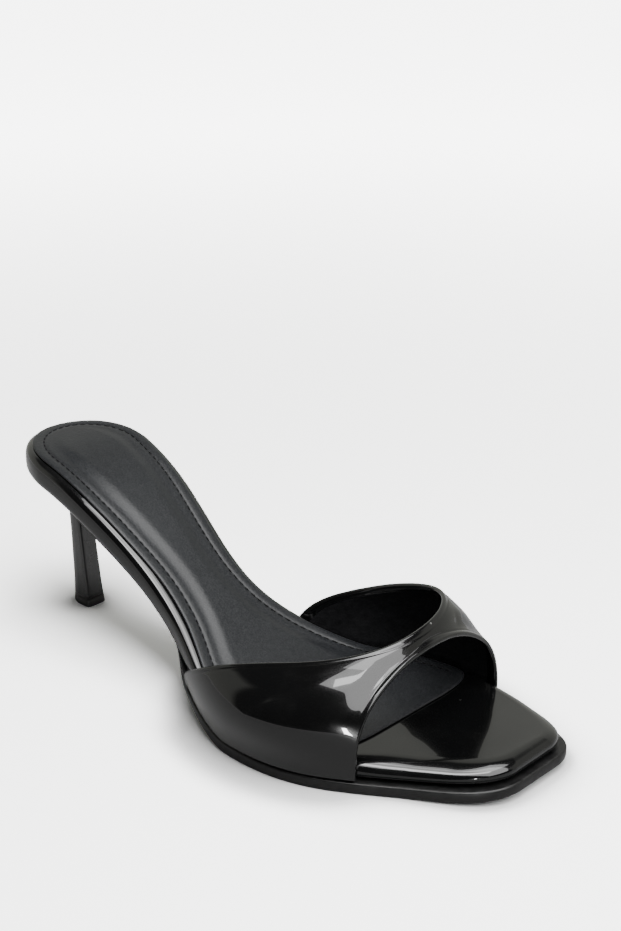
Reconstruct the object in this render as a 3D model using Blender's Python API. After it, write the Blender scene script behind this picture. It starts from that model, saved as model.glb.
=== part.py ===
"""Heeled slipper, right shoe: backless, open square toe, one wide band over the forefoot."""
import bmesh
import bpy
import numpy as np
from mathutils import Vector

# Driving dimensions in millimetres: x runs from heel to toe, y to the inner side of the foot, z up
MM = 0.001
GAP = 0.3

# Profile of the foot bed: height over the floor at the ball, rise to the heel, and the lift of the toe
BALL_HEIGHT = 10.2
HEEL_RISE = 59.2
ARCH_START = 140.0
ARCH_POWER = 0.8
SPRING_START = 190.0
TOE_SPRING = 2.0

# Thickness of the board and of the outsole, thicker and thinner towards the heel
BOARD_AT_BALL = 6.1
BOARD_AT_HEEL = 10.0
SOLE_AT_BALL = 3.8
SOLE_AT_WAIST = 1.8
THIN_FROM = 92.0
THICK_FROM = 138.0

# Plan of the board's widest line: heel arc, side table, and a blunt toe
HEEL_ARC_END = 26.0
HEEL_BACK = -2.5
TOE_ARC_START = 200.0
TOE_FRONT = 225.0
TOE_MIDDLE = 12.0
TOE_POWER = 4.5
HEEL_TURNS = (7, 18, 30, 42, 54, 66, 78)
SIDE_STATIONS = 40
TOE_SHARES = (0.99, 0.97, 0.94, 0.9, 0.84, 0.76, 0.66, 0.54, 0.4)

# Edges of the layers, measured inwards from the board's widest line
BOARD_TOP_RUN = 4.5
BOARD_TOP_DROP = 5.0
BOARD_FOOT_RUN = 1.6
BOARD_FOOT_RISE = 2.2
BOARD_TOP_TURNS = (0, 22, 45, 68, 90)
BOARD_FOOT_TURNS = (0, 45, 90)
SOCK_INSET = 2.9
SOCK_THICKNESS = 1.2
SOCK_FRONT = 179.7
SOCK_ARC_START = 167.0
SOCK_MIDDLE = 3.0
SOLE_LIP = 2.4
SOLE_WAIST_INSET = 2.5
SOLE_LIP_FROM = 90.0
SOLE_LIP_TO = 114.0
SOLE_EDGE_BEVEL = 0.5
SOLE_BACK = 41.0

# Upper
WALL = 1.8
UPPER_CROWN = 38.6
UPPER_ARCH_POWER = 0.94
TOE_EDGE_LATERAL = 186.6
TOE_EDGE_MEDIAL = 186.0
TOE_EDGE_BULGE = 1.8
SIDE_FADE = np.array([0.6, 0.6, 0.4])
TROUGH_REACH = 11.0
TROUGH_SHARE = 0.7
TROUGH_DEPTH = 1.1
TROUGH_SKEW = 0.7
TROUGH_ENDS = (0.1, 0.24)
UPPER_COLUMNS = 44
UPPER_ROWS = 22

# Heel
HEEL_TIP_HEIGHT = 3.0
HEEL_STRAIGHT_SHARE = 0.4
HEEL_CORNER_POWER = 0.3
HEEL_POINTS = 36
STEM_HEIGHTS = (10.0, 16.0, 22.0, 28.0, 34.0, 38.0, 42.0)
TIP_BEVEL = 0.4
TIP_BEVEL_HEIGHT = 0.5

# Edges between faces that meet at more than this many degrees stay crisp
SHARP_ANGLE = 40.0


def table(names, *rows):
    """Named columns of a short table of sizes."""
    return dict(zip(names.split(), np.array(rows, float).T))


OUTLINE = table(
    "x lateral medial",
    (26, 25.3, 26.0),
    (50, 25.6, 22.2),
    (75, 24.8, 16.2),
    (100, 28.3, 15.0),
    (125, 38.4, 27.0),
    (150, 42.4, 38.6),
    (175, 37.2, 42.4),
    (199, 23.0, 39.2),
    (212, 15.4, 35.0),
    (225, 8.0, 31.0),
)

# Edge of the sock from its top down: inset, and share of its thickness
SOCK_EDGE = table(
    "inset height",
    (0.6, 1.0),
    (0.15, 0.8),
    (0.0, 0.4),
    (0.3, 0.0),
)

# Edge of the outsole from its top down: inset, and share of its thickness
SOLE_EDGE = table(
    "inset depth",
    (SOLE_EDGE_BEVEL, 0.0),
    (0.0, 0.15),
    (0.0, 0.8),
    (SOLE_EDGE_BEVEL, 1.0),
)

# Throat edge of the upper, from its outer rear corner over the foot to its inner rear corner
THROAT = table(
    "x y z",
    (112.2, -35.4, 12.1),
    (114.2, -38.2, 17.8),
    (122.5, -42.0, 24.4),
    (133.0, -42.6, 30.0),
    (150.0, -35.3, 34.6),
    (167.8, -24.2, 37.8),
    (179.5, -8.2, 40.9),
    (180.7, 12.9, 43.3),
    (170.6, 30.4, 43.9),
    (147.5, 35.8, 37.7),
    (127.4, 32.7, 29.4),
    (113.2, 24.6, 20.3),
    (109.1, 20.8, 13.4),
)

# Straight part of the heel: height, rear and front faces, and half its width
STEM = table(
    "z rear front half",
    (0, 10.0, 22.1, 4.6),
    (10, 10.4, 20.8, 4.25),
    (22, 10.2, 19.4, 4.05),
    (34, 10.0, 18.2, 4.0),
    (42, 9.5, 17.9, 4.2),
)

# Flared top of the heel: depth under the board, rear and front ends, and half its width
FLARE = table(
    "depth rear front half",
    (12, 8.6, 18.4, 5.0),
    (8, 7.0, 19.4, 6.6),
    (5, 5.4, 21.5, 9.6),
    (3.6, 4.4, 25.0, 12.6),
    (2.8, 3.8, 30.0, 15.2),
    (2.0, 3.3, 36.0, 17.2),
    (1.0, 3.0, 39.4, 18.1),
    (0.0, 2.8, 40.0, 18.3),
)


def smooth_curve(knots, values):
    """Natural cubic spline through the values, as a function of the knots' parameter."""
    step = np.diff(knots)
    count = len(knots)
    matrix = np.eye(count)
    slopes = np.diff(values) / step
    right = np.zeros(count)
    for i in range(1, count - 1):
        matrix[i, i - 1:i + 2] = step[i - 1], 2.0 * (step[i - 1] + step[i]), step[i]
        right[i] = 6.0 * (slopes[i] - slopes[i - 1])
    bend = np.linalg.solve(matrix, right)

    def value(at):
        at = np.asarray(at, float)
        i = np.clip(np.searchsorted(knots, at) - 1, 0, count - 2)
        ahead = at - knots[i]
        rest = knots[i + 1] - at
        cubes = (bend[i] * rest ** 3 + bend[i + 1] * ahead ** 3) / (6.0 * step[i])
        lines = (values[i] / step[i] - bend[i] * step[i] / 6.0) * rest
        lines += (values[i + 1] / step[i] - bend[i + 1] * step[i] / 6.0) * ahead
        return cubes + lines

    return value


lateral_width = smooth_curve(OUTLINE["x"], OUTLINE["lateral"])
medial_width = smooth_curve(OUTLINE["x"], OUTLINE["medial"])


def smooth_step(x, start, end):
    """Zero before start, one after end, with soft ends."""
    share = np.clip((x - start) / (end - start), 0.0, 1.0)
    return share ** 3 * (10.0 - 15.0 * share + 6.0 * share ** 2)


def seat(x):
    """Height of the board's top over the floor."""
    back = np.clip((ARCH_START - x) / ARCH_START, 0.0, 1.0)
    arch = HEEL_RISE * np.sin(0.5 * np.pi * back ** ARCH_POWER) ** 2
    ahead = np.clip((x - SPRING_START) / (TOE_FRONT - SPRING_START), 0.0, None)
    return BALL_HEIGHT + arch + TOE_SPRING * ahead ** 2


def board_thickness(x):
    return BOARD_AT_HEEL + (BOARD_AT_BALL - BOARD_AT_HEEL) * smooth_step(x, THIN_FROM, THICK_FROM)


def sole_thickness(x):
    return SOLE_AT_WAIST + (SOLE_AT_BALL - SOLE_AT_WAIST) * smooth_step(x, THIN_FROM, THICK_FROM)


def board_under(x):
    """Height of the board's underside."""
    return seat(x) - board_thickness(x)


def round_front(x, y, start, front, middle, power):
    """Closes an outline at its front: draws y in to the middle along a squared arc."""
    share = np.clip((x - start) / (front - start), 0.0, 1.0)
    return middle + (y - middle) * (1.0 - share ** power) ** (1.0 / power)


def side_edges(x):
    """The board's widest line on the outer and inner side, at stations from heel to toe."""
    turn = np.sqrt(np.clip(1.0 - ((HEEL_ARC_END - x) / (HEEL_ARC_END - HEEL_BACK)) ** 2, 0.0, 1.0))
    heel_share = np.where(x < HEEL_ARC_END, turn, 1.0)
    reach = np.maximum(x, HEEL_ARC_END)
    lateral = -lateral_width(reach) * heel_share
    medial = medial_width(reach) * heel_share
    toe = (TOE_ARC_START, TOE_FRONT, TOE_MIDDLE, TOE_POWER)
    return round_front(x, lateral, *toe), round_front(x, medial, *toe)


def toe_stations(start, front, power):
    """Stations along a squared front, closer together round its corners."""
    return start + (front - start) * (1.0 - np.array(TOE_SHARES) ** power) ** (1.0 / power)


def board_stations():
    turn = np.radians(HEEL_TURNS)
    heel = HEEL_ARC_END - (HEEL_ARC_END - HEEL_BACK) * np.cos(turn)
    sides = np.linspace(HEEL_ARC_END, TOE_ARC_START, SIDE_STATIONS)
    return np.concatenate([heel, sides, toe_stations(TOE_ARC_START, TOE_FRONT, TOE_POWER)])


def outward(chain, side):
    """Plan directions square to a chain of points and away from the foot."""
    along = np.gradient(chain, axis=0)
    along /= np.linalg.norm(along, axis=1)[:, None]
    return side * np.stack([-along[:, 1], along[:, 0]], axis=1)


def plan_ring(x, lateral, medial, reach):
    """Closed plan line: up the outer side, back down the inner side, set out by reach."""
    reach = np.broadcast_to(reach, x.shape)[:, None]
    outer = np.stack([x, lateral], axis=1)
    inner = np.stack([x, medial], axis=1)
    outer = outer + outward(outer, -1.0) * reach
    inner = inner + outward(inner, 1.0) * reach
    return np.concatenate([outer, inner[::-1]])


def raised(ring, height):
    """A plan line lifted to a height that may change along the shoe."""
    return np.column_stack([ring, height])


def add_object(name, mesh_maker, material):
    """New object from a mesh that a function builds, in metres, shaded smooth with crisp edges."""
    shape = bmesh.new()
    mesh_maker(shape)
    bmesh.ops.recalc_face_normals(shape, faces=shape.faces)
    mesh = bpy.data.meshes.new(name)
    shape.to_mesh(mesh)
    shape.free()
    mesh.shade_smooth()
    mesh.set_sharp_from_angle(angle=np.radians(SHARP_ANGLE))
    mesh.materials.append(material)
    made = bpy.data.objects.new(name, mesh)
    bpy.context.scene.collection.objects.link(made)
    return made


def add_verts(shape, points):
    return [shape.verts.new(Vector(point) * MM) for point in points]


def join_rings(shape, first, second):
    for i in range(len(first)):
        j = (i + 1) % len(first)
        shape.faces.new((first[i], first[j], second[j], second[i]))


def close_across(shape, ring):
    """Fills a closed ring with rungs from its outer side to its inner side."""
    last = len(ring) - 1
    for i in range(len(ring) // 2 - 1):
        shape.faces.new((ring[i], ring[i + 1], ring[last - i - 1], ring[last - i]))


def layered_solid(name, rings, material):
    """Solid between stacked rings, closed across its first and its last one."""
    def build(shape):
        loops = [add_verts(shape, ring) for ring in rings]
        for upper, lower in zip(loops, loops[1:]):
            join_rings(shape, upper, lower)
        close_across(shape, loops[0])
        close_across(shape, loops[-1])

    return add_object(name, build, material)


def material(name, colour, roughness):
    made = bpy.data.materials.new(name)
    made.use_nodes = True
    surface = made.node_tree.nodes["Principled BSDF"]
    surface.inputs["Base Color"].default_value = (*colour, 1.0)
    surface.inputs["Roughness"].default_value = roughness
    surface.inputs["Metallic"].default_value = 0.0
    return made


def insole_board(finish):
    """Arched board with a wide rounding above and a small one below."""
    x = board_stations()
    edges = side_edges(x)
    rings = []
    for turn in np.radians(BOARD_TOP_TURNS):
        ring = plan_ring(x, *edges, -BOARD_TOP_RUN * (1.0 - np.sin(turn)))
        drop = BOARD_TOP_DROP * (1.0 - np.cos(turn)) * board_thickness(ring[:, 0]) / BOARD_AT_HEEL
        rings.append(raised(ring, seat(ring[:, 0]) - drop))
    for turn in np.radians(BOARD_FOOT_TURNS):
        ring = plan_ring(x, *edges, -BOARD_FOOT_RUN * (1.0 - np.cos(turn)))
        rise = BOARD_FOOT_RISE * (1.0 - np.sin(turn)) * board_thickness(ring[:, 0]) / BOARD_AT_HEEL
        rings.append(raised(ring, board_under(ring[:, 0]) + rise))
    return layered_solid("insole_board", rings, finish)


def sock_lining(finish):
    """Thin insole on the board, cut straight across in front with round corners."""
    stations = board_stations()
    front = toe_stations(SOCK_ARC_START, SOCK_FRONT + SOCK_INSET, TOE_POWER)
    x = np.concatenate([stations[stations < SOCK_ARC_START], front])
    closing = (SOCK_ARC_START, SOCK_FRONT + SOCK_INSET, SOCK_MIDDLE, TOE_POWER)
    edges = [round_front(x, side, *closing) for side in side_edges(x)]
    rings = []
    for inset, height in zip(*SOCK_EDGE.values()):
        ring = plan_ring(x, *edges, -SOCK_INSET - inset)
        rings.append(raised(ring, seat(ring[:, 0]) + GAP + SOCK_THICKNESS * height))
    return layered_solid("sock_lining", rings, finish)


def outsole(finish):
    """Sole with a lip round the forepart, drawn in and thinner under the arch."""
    stations = board_stations()
    x = np.concatenate([[SOLE_BACK], stations[stations > SOLE_BACK]])
    edges = side_edges(x)
    lip = smooth_step(x, SOLE_LIP_FROM, SOLE_LIP_TO)
    reach = SOLE_LIP * lip - SOLE_WAIST_INSET * (1.0 - lip)
    rings = []
    for inset, depth in zip(*SOLE_EDGE.values()):
        ring = plan_ring(x, *edges, reach - inset)
        top = board_under(ring[:, 0]) - GAP
        rings.append(raised(ring, top - sole_thickness(ring[:, 0]) * depth))
    return layered_solid("outsole", rings, finish)


def sole_line(x, side):
    """Lower edge of the upper on one side: just outside the board, level with its underside."""
    lateral, medial = side_edges(x)
    chain = np.stack([x, lateral if side < 0 else medial], axis=1)
    chain = chain + outward(chain, side) * (GAP + WALL)
    return raised(chain, board_under(chain[:, 0]))


def sole_point(x, side):
    """One point of the sole line, the middle of a short run of it."""
    return sole_line(np.array([x - 1.0, x, x + 1.0]), side)[1]


def toe_edge(share):
    """Free edge of the upper over the toes: an upright arch from the outer to the inner side."""
    turn = np.pi * share
    across = 0.5 * (1.0 - np.sign(np.cos(turn)) * np.abs(np.cos(turn)) ** UPPER_ARCH_POWER)
    ends = np.array([sole_point(TOE_EDGE_LATERAL, -1.0), sole_point(TOE_EDGE_MEDIAL, 1.0)])
    edge = ends[0] + (ends[1] - ends[0]) * across[:, None]
    edge[:, 1] -= TOE_EDGE_BULGE * np.sin(2.0 * turn)
    edge[:, 2] += (UPPER_CROWN - ends[:, 2].mean()) * np.sin(turn) ** UPPER_ARCH_POWER
    return edge


def throat_edge(share):
    """Free edge of the upper round the throat, through its table of points."""
    points = np.stack([THROAT["x"], THROAT["y"], THROAT["z"]], axis=1)
    length = np.concatenate([[0.0], np.cumsum(np.linalg.norm(np.diff(points, axis=0), axis=1))])
    length /= length[-1]
    return np.stack([smooth_curve(length, points[:, axis])(share) for axis in range(3)], axis=1)


def fitted_side(line, first, last, row):
    """A side line moved so that it starts and ends exactly on two corners."""
    return line + (first - line[0]) * (1.0 - row) + (last - line[-1]) * row


def upper_surface():
    """Outer face of the upper: straight from throat to toe edge, bowed out to the sole lines low down."""
    column = np.linspace(0.0, 1.0, UPPER_COLUMNS + 1)
    row = np.linspace(0.0, 1.0, UPPER_ROWS + 1)
    throat = throat_edge(column)
    toe = toe_edge(column)
    down = row[:, None, None]
    across = column[None, :, None]
    patch = (1.0 - down) * throat[None] + down * toe[None]
    for side, corner, share in ((-1.0, 0, across), (1.0, -1, 1.0 - across)):
        chord = throat[corner] + (toe[corner] - throat[corner]) * row[:, None]
        line = fitted_side(sole_line(chord[:, 0], side), throat[corner], toe[corner], row[:, None])
        patch = patch + (line - chord)[:, None] * (1.0 - smooth_step(share, 0.0, SIDE_FADE))
    return patch


def toe_trough(patch):
    """Depth of the soft trough behind the toe edge, which runs out towards the sole."""
    column = np.linspace(0.0, 1.0, UPPER_COLUMNS + 1)
    step = np.linalg.norm(np.diff(patch, axis=0), axis=2)
    ahead = np.concatenate([np.cumsum(step[::-1], axis=0)[::-1], np.zeros((1, UPPER_COLUMNS + 1))])
    reach = np.minimum(TROUGH_REACH, TROUGH_SHARE * ahead[0])
    ends = smooth_step(column, *TROUGH_ENDS) * smooth_step(1.0 - column, *TROUGH_ENDS)
    depth = TROUGH_DEPTH * ends * reach / TROUGH_REACH
    return depth * np.sin(np.pi * np.clip(ahead / reach, 0.0, 1.0) ** TROUGH_SKEW) ** 2


def surface_normals(grid):
    """Directions out of a grid of points whose columns run from the outer to the inner side."""
    normal = np.cross(np.gradient(grid, axis=0), np.gradient(grid, axis=1))
    return normal / np.linalg.norm(normal, axis=2)[:, :, None]


def upper(finish):
    """Hollow band with a real wall, flared at the toe, open at throat, toe and underneath."""
    outer = upper_surface()
    outer = outer - surface_normals(outer) * toe_trough(outer)[:, :, None]
    normal = surface_normals(outer)
    for edge in (0, -1):
        normal[:, edge, 2] = 0.0
        normal[:, edge] /= np.linalg.norm(normal[:, edge], axis=1)[:, None]
    inner = outer - normal * WALL

    def build(shape):
        faces = []
        for grid in (outer, inner):
            faces.append([add_verts(shape, line) for line in grid])
        for grid in faces:
            for i in range(UPPER_ROWS):
                for j in range(UPPER_COLUMNS):
                    shape.faces.new((grid[i][j], grid[i][j + 1], grid[i + 1][j + 1], grid[i + 1][j]))
        rims = []
        for grid in faces:
            rim = list(grid[0])
            rim += [line[-1] for line in grid[1:]]
            rim += list(grid[-1])[-2::-1]
            rim += [line[0] for line in grid[-2:0:-1]]
            rims.append(rim)
        join_rings(shape, rims[0], rims[1])

    return add_object("upper", build, finish)


def heel_section(rear, front, half):
    """Heel in plan: a straight breast with tight corners and a round back."""
    turn = np.linspace(0.0, 2.0 * np.pi, HEEL_POINTS, endpoint=False) + np.pi / HEEL_POINTS
    middle = front - HEEL_STRAIGHT_SHARE * (front - rear)
    power = np.where(np.cos(turn) > 0.0, HEEL_CORNER_POWER, 1.0)
    reach = np.where(np.cos(turn) > 0.0, front - middle, middle - rear)
    x = middle + reach * np.sign(np.cos(turn)) * np.abs(np.cos(turn)) ** power
    y = half * np.sign(np.sin(turn)) * np.abs(np.sin(turn)) ** power
    return np.stack([x, y], axis=1)


def stem_section(z):
    return heel_section(*(smooth_curve(STEM["z"], STEM[name])(z) for name in ("rear", "front", "half")))


def stacked_solid(name, rings, finish):
    """Solid between stacked rings, with a flat polygon at each end."""
    def build(shape):
        loops = [add_verts(shape, ring) for ring in rings]
        for lower, higher in zip(loops, loops[1:]):
            join_rings(shape, lower, higher)
        shape.faces.new(loops[0])
        shape.faces.new(loops[-1])

    return add_object(name, build, finish)


def heel(finish):
    """Slim stem that flares under the board, with a thin lip in front of the breast."""
    rings = []
    for z in (HEEL_TIP_HEIGHT + GAP, *STEM_HEIGHTS):
        section = stem_section(z)
        rings.append(raised(section, np.full(len(section), z)))
    for depth, rear, front, half in zip(*FLARE.values()):
        section = heel_section(rear, front, half)
        rings.append(raised(section, board_under(section[:, 0]) - GAP - depth))
    return stacked_solid("heel", rings, finish)


def heel_tip(finish):
    """Wear piece under the heel, with a small bevel at the floor."""
    rings = []
    for z, inset in ((0.0, TIP_BEVEL), (TIP_BEVEL_HEIGHT, 0.0), (HEEL_TIP_HEIGHT, 0.0)):
        section = stem_section(z)
        centre = section.mean(axis=0)
        section = centre + (section - centre) * (1.0 - inset / STEM["half"][0])
        rings.append(raised(section, np.full(len(section), z)))
    return stacked_solid("heel_tip", rings, finish)


def stand_on_origin(objects):
    """Moves the meshes so that the middle of the shoe's box stands on the origin."""
    points = np.array([vertex.co for made in objects for vertex in made.data.vertices])
    low = points.min(axis=0)
    high = points.max(axis=0)
    shift = Vector((-0.5 * (low[0] + high[0]), -0.5 * (low[1] + high[1]), -low[2]))
    for made in objects:
        for vertex in made.data.vertices:
            vertex.co = vertex.co + shift


def main():
    for old in list(bpy.data.objects):
        bpy.data.objects.remove(old)
    patent = material("black_patent_leather", (0.012, 0.012, 0.013), 0.08)
    lining = material("charcoal_lining", (0.035, 0.036, 0.039), 0.62)
    rubber = material("black_rubber", (0.022, 0.022, 0.023), 0.55)
    moulded = material("gloss_black_heel", (0.012, 0.012, 0.012), 0.18)
    pieces = [
        outsole(rubber),
        insole_board(patent),
        sock_lining(lining),
        upper(patent),
        heel(moulded),
        heel_tip(rubber),
    ]
    stand_on_origin(pieces)


main()
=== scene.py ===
"""Looks of a heeled slipper: patent band and foot bed, stitched sock, rubber sole and moulded heel."""

import bmesh
import bpy
import numpy as np
from mathutils import Matrix, Vector


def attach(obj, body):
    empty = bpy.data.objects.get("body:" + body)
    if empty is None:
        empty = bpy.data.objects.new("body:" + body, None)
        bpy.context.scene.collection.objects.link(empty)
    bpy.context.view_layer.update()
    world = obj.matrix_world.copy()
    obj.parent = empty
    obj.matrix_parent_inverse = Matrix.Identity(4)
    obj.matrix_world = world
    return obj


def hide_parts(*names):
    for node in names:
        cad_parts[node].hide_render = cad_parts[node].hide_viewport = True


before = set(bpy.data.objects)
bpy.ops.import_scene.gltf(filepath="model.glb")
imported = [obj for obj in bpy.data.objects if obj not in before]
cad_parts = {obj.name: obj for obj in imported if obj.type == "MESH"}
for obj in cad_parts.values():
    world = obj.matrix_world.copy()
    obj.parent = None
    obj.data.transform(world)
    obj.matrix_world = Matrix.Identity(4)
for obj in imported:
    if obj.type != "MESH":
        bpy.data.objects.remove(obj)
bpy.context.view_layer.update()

# Sizes are in millimetres: x from heel to toe, y to the inner side of the foot, z up from the floor
MM = 0.001
ORIGIN = np.array([112.506, -1.196, 0.0])
GAP = 0.3
MERGE_DISTANCE = 1e-6
TINY = 1e-9

# Profile of the foot bed
BALL_HEIGHT = 10.2
HEEL_RISE = 59.2
ARCH_START = 140.0
ARCH_POWER = 0.8
SPRING_START = 190.0
TOE_SPRING = 2.0

# Thickness of board and outsole
BOARD_AT_BALL = 6.1
BOARD_AT_HEEL = 10.0
SOLE_AT_BALL = 3.8
SOLE_AT_WAIST = 1.8
THIN_FROM = 92.0
THICK_FROM = 138.0

# Plan of the board's widest line
HEEL_ARC_END = 26.0
HEEL_BACK = -2.5
TOE_ARC_START = 200.0
TOE_FRONT = 225.0
TOE_MIDDLE = 12.0
TOE_POWER = 4.5

# Layers of the foot bed
BOARD_TOP_RUN = 4.5
BOARD_TOP_DROP = 5.0
BOARD_FOOT_RUN = 2.4
BOARD_FOOT_RISE = 3.4
BOARD_CROWN = 0.2
BARE_TOE_RISE = (183.0, 198.0)
BARE_TOE_FALL = (205.0, 222.0)
BOARD_SHOULDER = 0.62
SHOULDER_END = (120.0, 185.0)
TOE_ROLL = (172.0, 196.0)
TOE_ROLL_END = (206.0, 225.0)
TOE_ROLL_LOSS = 0.6
TOE_ROLL_RUN = 3.5
TOE_ROLL_DROP = 0.15
SOCK_INSET = 2.9
SOCK_THICKNESS = 0.8
SOCK_FRONT = 182.6
SOCK_ARC_START = 167.0
SOCK_MIDDLE = 3.0
STITCH_INSET = 4.3
STITCH_ENDS = (168.0, 174.0)
STITCH_PITCH = 3.1
STITCH_LENGTH = 2.2
STITCH_RADIUS = 0.27
STITCH_SIDES = 8
STITCH_RINGS = 6
THREAD_HEIGHT = 0.62
SOCK_CROWN = 0.95
CROWN_EDGE = (0.5, 8.0)
CROWN_RISE = (4.0, 34.0)
CROWN_FALL = (150.0, 176.0)
SOCK_WAIST = (62.0, 95.0, 128.0)
SOCK_WAIST_INSET = 1.2
SOLE_LIP = 2.4
SOLE_WAIST_INSET = 2.5
SOLE_LIP_FROM = 90.0
SOLE_LIP_TO = 114.0
SOLE_BACK = 41.0

# Upper
WALL = 1.8
ROLL = 0.5 * WALL
LOWER_ROLL = 0.007
UPPER_CROWN = 38.6
UPPER_ARCH_POWER = 0.94
TOE_EDGE_LATERAL = 186.6
TOE_EDGE_MEDIAL = 186.0
TOE_EDGE_BULGE = 1.8
SIDE_FADE = np.array([0.6, 0.6, 0.4])
TROUGH_REACH = 11.0
TROUGH_SHARE = 0.7
TROUGH_DEPTH = 1.1
TROUGH_SKEW = 0.7
TROUGH_ENDS = (0.17, 0.34)
FOLD_WIDTH = 2.3
THROAT_FOLD_DEPTH = 0.12
TOE_FOLD_DEPTH = 0.22
FOLD_SOFTNESS = 0.4
FOLD_ENDS = (0.16, 0.32)
RIM_TURN = 3.0
RIM_FULL_FROM = 11.0
RIM_STEP = 0.22
RIM_STEP_RISE = (0.95, 1.4)
RIM_STEP_FALL = (2.65, 3.05)
RIM_ENDS = (0.0, 0.04)

# Heel
HEEL_TIP_HEIGHT = 3.0
HEEL_SEAT_GAP = 0.03
HEEL_STRAIGHT_SHARE = 0.4
HEEL_CORNER_POWER = 0.3


def table(names, *rows):
    """Named columns of a short table of sizes."""
    return dict(zip(names.split(), np.array(rows, float).T))


OUTLINE = table(
    "x lateral medial",
    (26, 25.3, 26.0),
    (50, 25.6, 22.2),
    (75, 24.8, 16.2),
    (100, 28.3, 15.0),
    (125, 38.4, 27.0),
    (150, 42.4, 38.6),
    (175, 37.2, 42.4),
    (199, 23.0, 39.2),
    (212, 15.4, 35.0),
    (225, 8.0, 31.0),
)

# Throat edge of the upper, from its outer rear corner over the foot to its inner rear corner
THROAT = table(
    "x y z",
    (112.2, -35.4, 12.1),
    (114.2, -38.2, 17.8),
    (122.5, -42.0, 24.4),
    (133.0, -42.6, 30.0),
    (150.0, -35.3, 34.6),
    (167.8, -24.2, 37.8),
    (179.5, -8.2, 40.9),
    (180.7, 12.9, 43.3),
    (170.6, 30.4, 43.9),
    (147.5, 35.8, 37.7),
    (127.4, 32.7, 29.4),
    (113.2, 24.6, 20.3),
    (109.1, 20.8, 13.4),
)

# Straight part of the heel: height, rear and front faces, and half its width
STEM = table(
    "z rear front half",
    (0, 10.0, 22.1, 4.6),
    (10, 10.4, 20.8, 4.25),
    (22, 10.2, 19.4, 4.05),
    (34, 10.0, 18.2, 4.0),
    (42, 9.5, 17.9, 4.2),
)

# Flared top of the heel: depth under the board, rear and front ends, and half its width
FLARE = table(
    "depth rear front half",
    (12, 8.6, 18.4, 5.0),
    (8, 7.0, 19.4, 6.6),
    (5, 5.4, 21.5, 9.6),
    (3.6, 4.4, 25.0, 12.6),
    (2.8, 3.8, 30.0, 15.2),
    (2.0, 3.3, 36.0, 17.2),
    (1.0, 3.0, 39.4, 18.1),
    (0.0, 2.8, 40.0, 18.3),
)


def smooth_curve(knots, values):
    """Natural cubic spline through the values, as a function of the knots' parameter."""
    step = np.diff(knots)
    count = len(knots)
    matrix = np.eye(count)
    slopes = np.diff(values) / step
    right = np.zeros(count)
    for i in range(1, count - 1):
        matrix[i, i - 1:i + 2] = step[i - 1], 2.0 * (step[i - 1] + step[i]), step[i]
        right[i] = 6.0 * (slopes[i] - slopes[i - 1])
    bend = np.linalg.solve(matrix, right)

    def value(at):
        at = np.asarray(at, float)
        i = np.clip(np.searchsorted(knots, at) - 1, 0, count - 2)
        ahead = at - knots[i]
        rest = knots[i + 1] - at
        cubes = (bend[i] * rest ** 3 + bend[i + 1] * ahead ** 3) / (6.0 * step[i])
        lines = (values[i] / step[i] - bend[i] * step[i] / 6.0) * rest
        lines += (values[i + 1] / step[i] - bend[i + 1] * step[i] / 6.0) * ahead
        return cubes + lines

    return value


lateral_width = smooth_curve(OUTLINE["x"], OUTLINE["lateral"])
medial_width = smooth_curve(OUTLINE["x"], OUTLINE["medial"])


def smooth_step(x, start, end):
    """Zero before start, one after end, with soft ends."""
    share = np.clip((x - start) / (end - start), 0.0, 1.0)
    return share ** 3 * (10.0 - 15.0 * share + 6.0 * share ** 2)


def seat(x):
    """Height of the board's top over the floor."""
    back = np.clip((ARCH_START - x) / ARCH_START, 0.0, 1.0)
    arch = HEEL_RISE * np.sin(0.5 * np.pi * back ** ARCH_POWER) ** 2
    ahead = np.clip((x - SPRING_START) / (TOE_FRONT - SPRING_START), 0.0, None)
    return BALL_HEIGHT + arch + TOE_SPRING * ahead ** 2


def board_thickness(x):
    return BOARD_AT_HEEL + (BOARD_AT_BALL - BOARD_AT_HEEL) * smooth_step(x, THIN_FROM, THICK_FROM)


def sole_thickness(x):
    return SOLE_AT_WAIST + (SOLE_AT_BALL - SOLE_AT_WAIST) * smooth_step(x, THIN_FROM, THICK_FROM)


def board_under(x):
    """Height of the board's underside."""
    return seat(x) - board_thickness(x)


def in_frame(points):
    """Shoe sizes to metres in the part's frame."""
    return (np.asarray(points) - ORIGIN) * MM


# Outlines in plan: stations round the heel, along the sides and round the blunt front
HEEL_TURNS = np.radians(np.linspace(4.0, 84.0, 26))
SIDE_SHARES = np.linspace(0.0, 1.0, 130)
FRONT_SHARES = np.array([0.997, 0.99, 0.98, 0.965, 0.945, 0.92, 0.89, 0.85, 0.8, 0.74, 0.67, 0.59, 0.5])


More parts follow.
